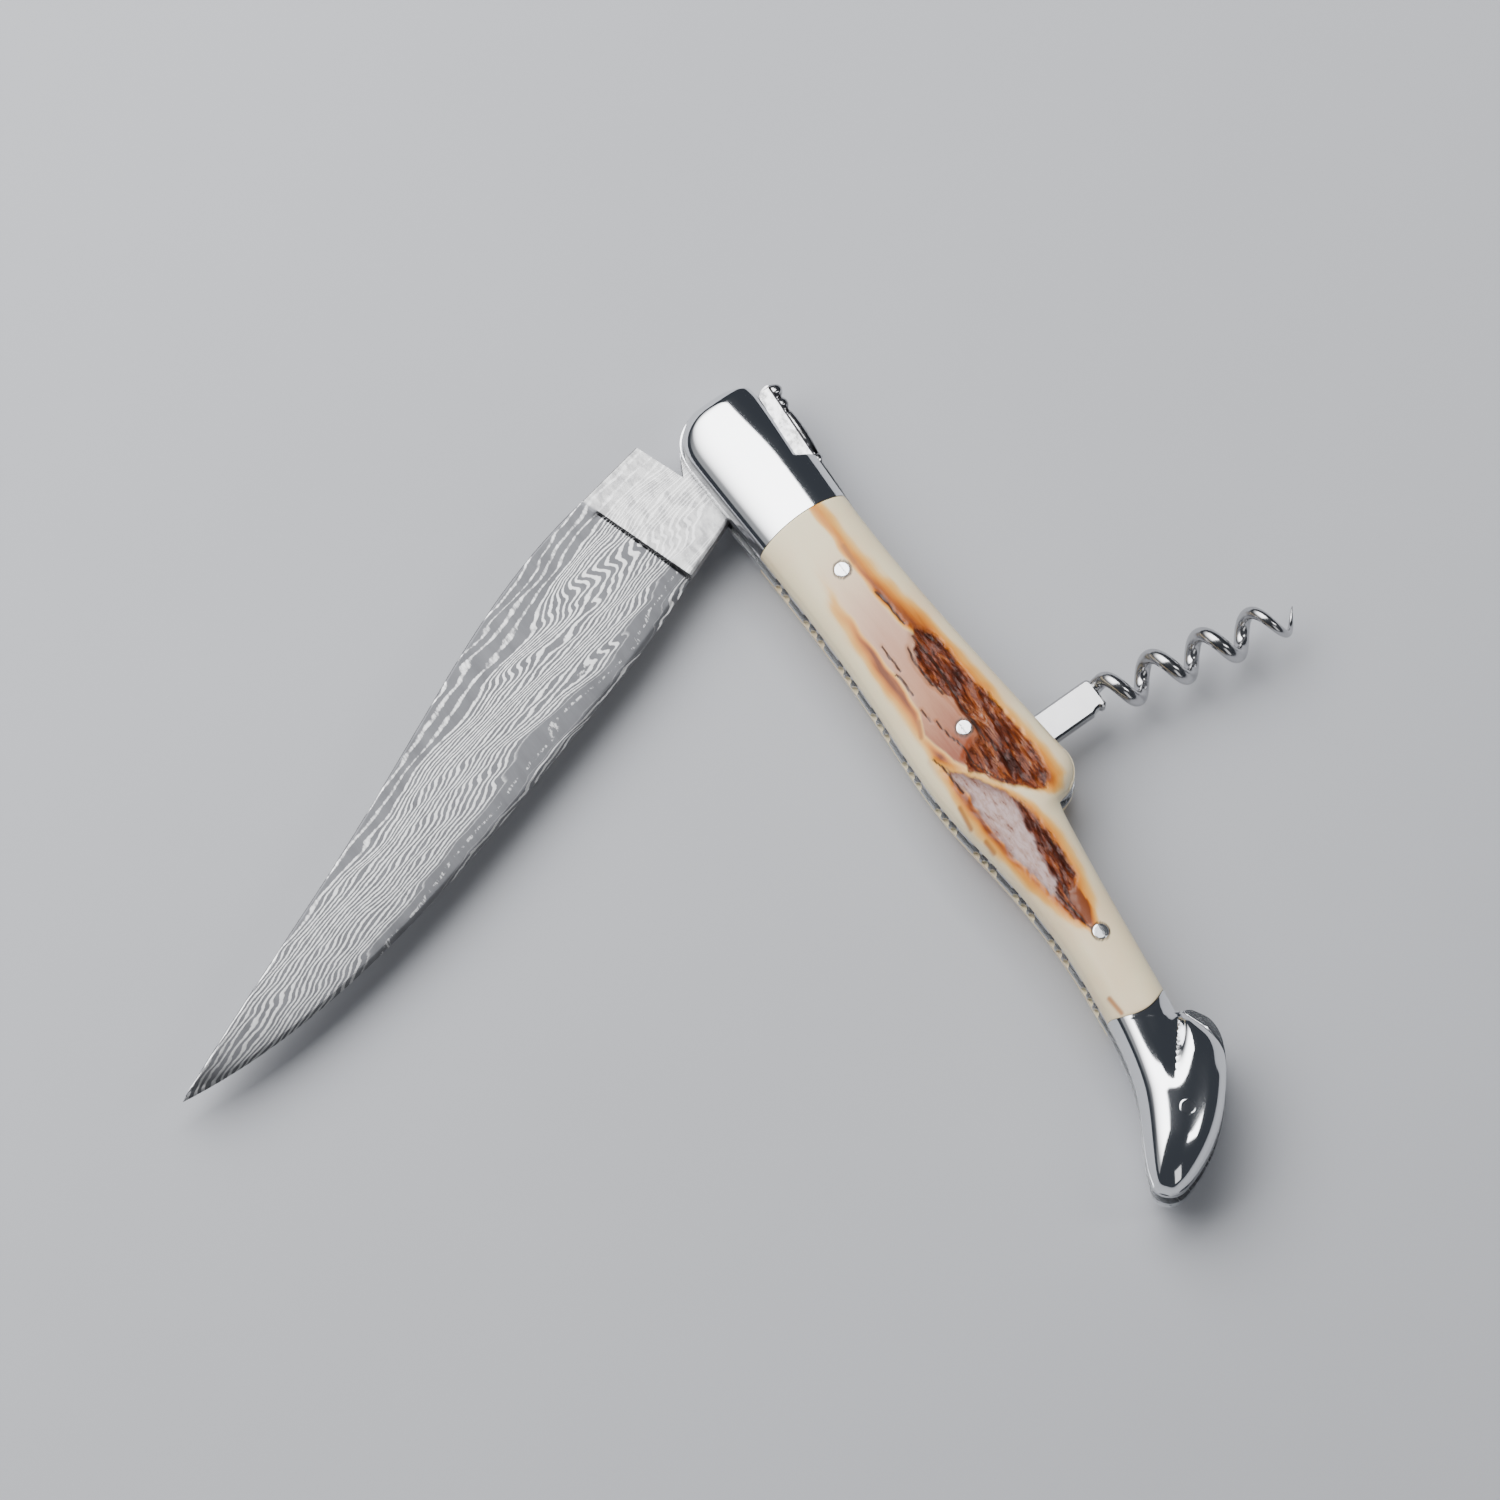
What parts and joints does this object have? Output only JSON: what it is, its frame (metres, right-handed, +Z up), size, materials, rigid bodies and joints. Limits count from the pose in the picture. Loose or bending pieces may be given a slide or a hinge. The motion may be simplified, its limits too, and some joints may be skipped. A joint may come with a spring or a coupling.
{
  "type": "folding pocket knife with corkscrew",
  "caption": "Slip-joint folding knife with curved bolstered handle, pattern-welded blade and a corkscrew that folds onto its back.",
  "frame": {"origin": "on the blade pivot's axis, at the lower front bolster's flat outer face", "axes": "+X from the blade pivot to the tail, +Y towards the back with the spring and corkscrew, +Z up through the handle's thickness"},
  "size_m": [0.1205, 0.1533, 0.0144],
  "materials": {
    "bolster_steel": "mirror-polished stainless steel",
    "liner_steel": "polished edge with filework",
    "pin_steel": "flush-ground bright steel",
    "spring_steel": "satin sides, filed and polished back",
    "pattern_welded_steel": "etched layered steel, bright lines on grey",
    "corkscrew_steel": "polished",
    "scale_tusk": "polished tusk with brown bark"
  },
  "bodies": {
    "handle": {"upper_liner": "liner_steel", "lower_liner": "liner_steel", "upper_front_bolster": "bolster_steel", "lower_front_bolster": "bolster_steel", "upper_rear_bolster": "bolster_steel", "lower_rear_bolster": "bolster_steel", "upper_scale": "scale_tusk", "lower_scale": "scale_tusk", "backspring": "spring_steel", "blade_pivot_pin": "pin_steel", "corkscrew_pivot_pin": "pin_steel", "spring_middle_pin": "pin_steel", "rear_bolster_pin": "bolster_steel", "upper_scale_pin_front": "pin_steel", "upper_scale_pin_middle": "pin_steel", "upper_scale_pin_rear": "pin_steel", "lower_scale_pin_front": "pin_steel", "lower_scale_pin_middle": "pin_steel", "lower_scale_pin_rear": "pin_steel"},
    "blade": {"blade": "pattern_welded_steel"},
    "corkscrew": {"corkscrew_shank": "corkscrew_steel", "corkscrew_worm": "corkscrew_steel"},
    "spring": {"spring_leaf": "spring_steel"}
  },
  "joints": [
    {"name": "blade_pivot", "type": "hinge", "parent": "handle", "child": "blade", "pos_m": [0, 0, 0.0072], "axis": [0, 0, 1], "range_deg": [-108.5, 68.5]},
    {"name": "corkscrew_pivot", "type": "hinge", "parent": "handle", "child": "corkscrew", "pos_m": [0.0535, 0.0078, 0.0072], "axis": [0, 0, -1], "range_deg": [0, 83]},
    {"name": "spring_flex", "type": "hinge", "parent": "handle", "child": "spring", "pos_m": [0.024, 0.0069, 0.0072], "axis": [0, 0, 1], "range_deg": [-0.9, 3.2], "deforming": ["spring_leaf"]}
  ]
}
